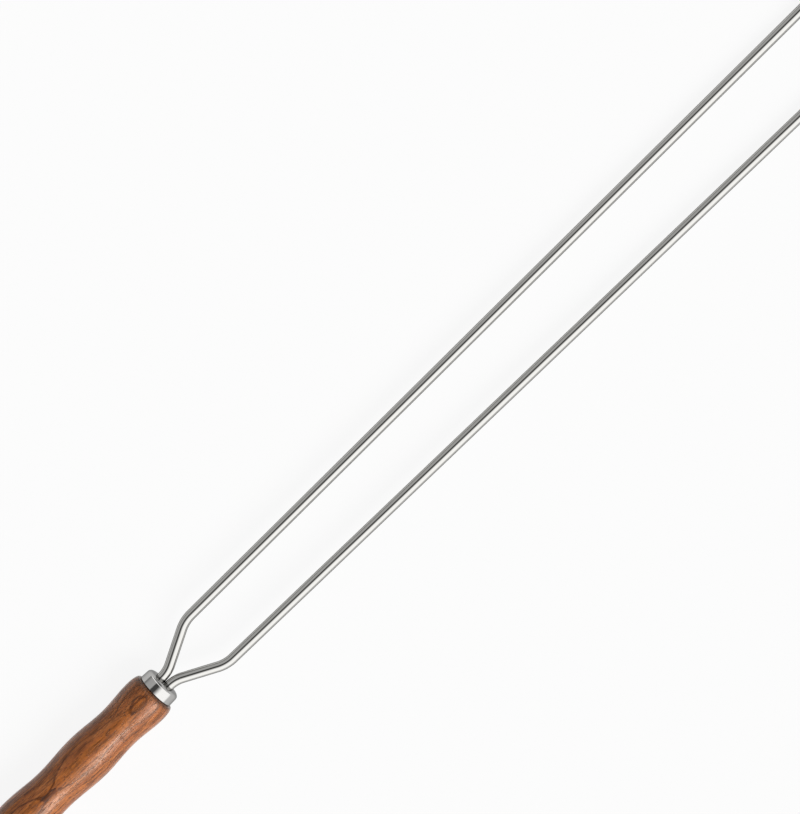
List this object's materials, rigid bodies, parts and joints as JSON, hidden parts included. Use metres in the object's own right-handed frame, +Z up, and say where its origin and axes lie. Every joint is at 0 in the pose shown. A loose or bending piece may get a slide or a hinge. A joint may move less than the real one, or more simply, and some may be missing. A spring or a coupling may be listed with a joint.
{
  "type": "double skewer",
  "caption": "Long grilling skewer with parallel round steel prongs cranked apart from a metal ferrule and a turned wooden handle.",
  "frame": {"origin": "middle of the overall length, centred between the prongs, level with the lowest line of the handle", "axes": "+X along the skewer towards the tips of the prongs, +Y across the prongs to the left prong, +Z up, square to the plane that the prongs lie in"},
  "size_m": [0.75, 0.0492, 0.0284],
  "materials": {
    "handle": "turned hardwood, oiled satin",
    "ferrule": "drawn sheet, polished",
    "left_prong": "bright drawn stainless rod",
    "right_prong": "bright drawn stainless rod",
    "butt_washer": "stamped sheet, satin"
  },
  "bodies": {
    "root": {"handle": "handle", "ferrule": "ferrule", "left_prong": "left_prong", "right_prong": "right_prong", "butt_washer": "butt_washer"}
  },
  "joints": []
}
